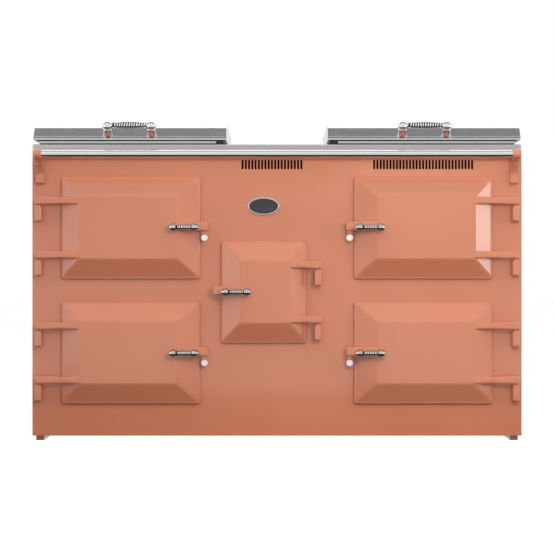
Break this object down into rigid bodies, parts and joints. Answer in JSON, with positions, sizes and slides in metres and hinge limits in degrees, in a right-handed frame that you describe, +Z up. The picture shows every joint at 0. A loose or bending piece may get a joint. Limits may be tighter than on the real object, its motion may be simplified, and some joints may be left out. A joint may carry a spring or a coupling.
{
  "type": "cast iron range cooker",
  "caption": "Wide free-standing range cooker with hinged oven doors, lidded hot plates, a towel rail and a small control door.",
  "frame": {"origin": "middle of the footprint on the floor, under the runners", "axes": "+X along the width to the right seen from the front, +Y to the back, +Z up; the doors face -Y"},
  "size_m": [1.498, 0.6844, 0.9776],
  "materials": {
    "enamel": "gloss vitreous enamel on cast iron, terracotta pink",
    "polished_steel": "finely polished stainless steel",
    "chrome": "mirror chrome plate",
    "badge": "chrome rim round a dark enamel field",
    "black_iron": "machined and seasoned cast iron",
    "runner_paint": "satin paint",
    "oven_enamel": "dark speckled vitreous enamel",
    "knob_plastic": "satin black",
    "stud_ceramic": "glossy white",
    "insulation_wool": "mineral wool",
    "rubber": "matt",
    "zinc_steel": "zinc-coated sheet"
  },
  "bodies": {
    "cooker": {"front_plate": "enamel", "back_panel": "zinc_steel", "base_tray": "zinc_steel", "hob_top": "polished_steel", "cable_grommet": "rubber", "insulation": "insulation_wool", "badge_plate": "badge", "towel_rail": "chrome", "side_panel_left": "enamel", "runner_left": "runner_paint", "hot_plate_left": "black_iron", "rail_bracket_left": "enamel", "side_panel_right": "enamel", "runner_right": "runner_paint", "hot_plate_right": "black_iron", "rail_bracket_right": "enamel", "control_box": "oven_enamel", "oven_liner_upper_left": "oven_enamel", "catch_stud_upper_left": "stud_ceramic", "oven_liner_lower_left": "oven_enamel", "catch_stud_lower_left": "stud_ceramic", "oven_liner_upper_right": "oven_enamel", "catch_stud_upper_right": "stud_ceramic", "oven_liner_lower_right": "oven_enamel", "catch_stud_lower_right": "stud_ceramic", "hinge_posts_upper_left": "enamel", "hinge_posts_lower_left": "enamel", "hinge_posts_upper_right": "enamel", "hinge_posts_lower_right": "enamel", "hinge_posts_control": "enamel", "lid_hinge_left": "zinc_steel", "lid_hinge_right": "zinc_steel"},
    "door_upper_left": {"door_upper_left": "enamel", "grip_frame_upper_left": "chrome", "grip_coil_upper_left": "chrome", "door_liner_upper_left": "zinc_steel"},
    "door_lower_left": {"door_lower_left": "enamel", "grip_frame_lower_left": "chrome", "grip_coil_lower_left": "chrome", "door_liner_lower_left": "zinc_steel"},
    "door_upper_right": {"door_upper_right": "enamel", "grip_frame_upper_right": "chrome", "grip_coil_upper_right": "chrome", "door_liner_upper_right": "zinc_steel"},
    "door_lower_right": {"door_lower_right": "enamel", "grip_frame_lower_right": "chrome", "grip_coil_lower_right": "chrome", "door_liner_lower_right": "zinc_steel"},
    "door_control": {"door_control": "enamel", "grip_frame_control": "chrome", "grip_coil_control": "chrome"},
    "lid_left": {"lid_left": "polished_steel", "lid_handle_frame_left": "chrome", "lid_coil_left": "chrome"},
    "lid_right": {"lid_right": "polished_steel", "lid_handle_frame_right": "chrome", "lid_coil_right": "chrome"},
    "knob_1": {"control_knob_1": "knob_plastic"},
    "knob_2": {"control_knob_2": "knob_plastic"},
    "knob_3": {"control_knob_3": "knob_plastic"}
  },
  "joints": [
    {"name": "door_upper_left_swing", "type": "hinge", "parent": "cooker", "child": "door_upper_left", "pos_m": [-0.727, -0.29215, 0.65], "axis": [0, 0, -1], "range_deg": [0, 110]},
    {"name": "door_lower_left_swing", "type": "hinge", "parent": "cooker", "child": "door_lower_left", "pos_m": [-0.727, -0.29215, 0.269], "axis": [0, 0, -1], "range_deg": [0, 110]},
    {"name": "door_upper_right_swing", "type": "hinge", "parent": "cooker", "child": "door_upper_right", "pos_m": [0.727, -0.29215, 0.65], "axis": [0, 0, 1], "range_deg": [0, 110]},
    {"name": "door_lower_right_swing", "type": "hinge", "parent": "cooker", "child": "door_lower_right", "pos_m": [0.727, -0.29215, 0.269], "axis": [0, 0, 1], "range_deg": [0, 110]},
    {"name": "door_control_swing", "type": "hinge", "parent": "cooker", "child": "door_control", "pos_m": [0.1245, -0.29215, 0.454], "axis": [0, 0, 1], "range_deg": [0, 110]},
    {"name": "lid_left_swing", "type": "hinge", "parent": "cooker", "child": "lid_left", "pos_m": [-0.451, 0.25785, 0.9295], "axis": [-1, 0, 0], "range_deg": [0, 90]},
    {"name": "lid_right_swing", "type": "hinge", "parent": "cooker", "child": "lid_right", "pos_m": [0.451, 0.25785, 0.9295], "axis": [-1, 0, 0], "range_deg": [0, 90]},
    {"name": "knob_1_turn", "type": "hinge", "parent": "cooker", "child": "knob_1", "pos_m": [-0.04, -0.16765, 0.522], "axis": [0, 1, 0], "range_deg": [0, 270]},
    {"name": "knob_2_turn", "type": "hinge", "parent": "cooker", "child": "knob_2", "pos_m": [-0.04, -0.16765, 0.454], "axis": [0, 1, 0], "range_deg": [0, 270]},
    {"name": "knob_3_turn", "type": "hinge", "parent": "cooker", "child": "knob_3", "pos_m": [-0.04, -0.16765, 0.386], "axis": [0, 1, 0], "range_deg": [0, 270]}
  ]
}
